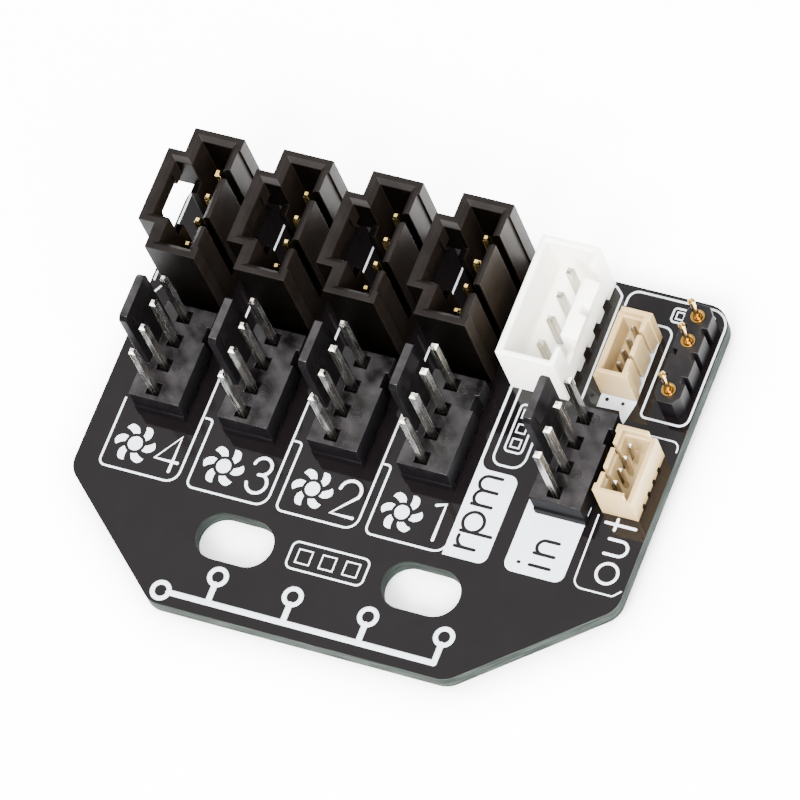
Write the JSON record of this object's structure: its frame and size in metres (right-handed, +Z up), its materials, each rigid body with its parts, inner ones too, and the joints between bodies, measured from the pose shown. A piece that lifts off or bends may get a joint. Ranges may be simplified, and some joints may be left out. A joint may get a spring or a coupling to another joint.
{
  "type": "addressable rgb splitter",
  "caption": "Flat circuit board that splits one lighting and fan signal into several shrouded lighting outputs and fan outputs, with slots for fixing screws.",
  "frame": {"origin": "midway between the two fixing slots, on the underside of the board", "axes": "+X to the right along the headers, +Y from the slots towards the tall headers, +Z up out of the component side"},
  "size_m": [0.0546, 0.0415, 0.0148],
  "materials": {
    "board": "satin black solder mask",
    "shroud_black": "moulded black, slightly warm",
    "base_black": "moulded black, slightly glossy",
    "strip_black": "moulded black",
    "nylon_white": "natural nylon, satin",
    "nylon_ivory": "ivory nylon, satin",
    "pin_gold": "gold flash",
    "turned_gold": "turned and gold plated",
    "pin_tin": "tin plated",
    "fine_pin_tin": "tin plated",
    "solder": "smooth solder"
  },
  "bodies": {
    "root": {"circuit_board": "board", "lighting_header_1": "shroud_black", "lighting_pins_1": "pin_gold", "lighting_solder_1": "solder", "lighting_header_2": "shroud_black", "lighting_pins_2": "pin_gold", "lighting_solder_2": "solder", "lighting_header_3": "shroud_black", "lighting_pins_3": "pin_gold", "lighting_solder_3": "solder", "lighting_header_4": "shroud_black", "lighting_pins_4": "pin_gold", "lighting_solder_4": "solder", "fan_header_1": "base_black", "fan_pins_1": "pin_tin", "fan_solder_1": "solder", "fan_header_2": "base_black", "fan_pins_2": "pin_tin", "fan_solder_2": "solder", "fan_header_3": "base_black", "fan_pins_3": "pin_tin", "fan_solder_3": "solder", "fan_header_4": "base_black", "fan_pins_4": "pin_tin", "fan_solder_4": "solder", "fan_input_header": "base_black", "fan_input_pins": "pin_tin", "fan_input_solder": "solder", "white_input_header": "nylon_white", "white_input_pins": "pin_tin", "white_input_solder": "solder", "ivory_input_header": "nylon_ivory", "ivory_input_pins": "fine_pin_tin", "ivory_input_solder": "solder", "ivory_output_header": "nylon_ivory", "ivory_output_pins": "fine_pin_tin", "ivory_output_solder": "solder", "turned_pin_strip": "strip_black", "turned_pins": "turned_gold", "turned_pin_solder": "solder"}
  },
  "joints": []
}
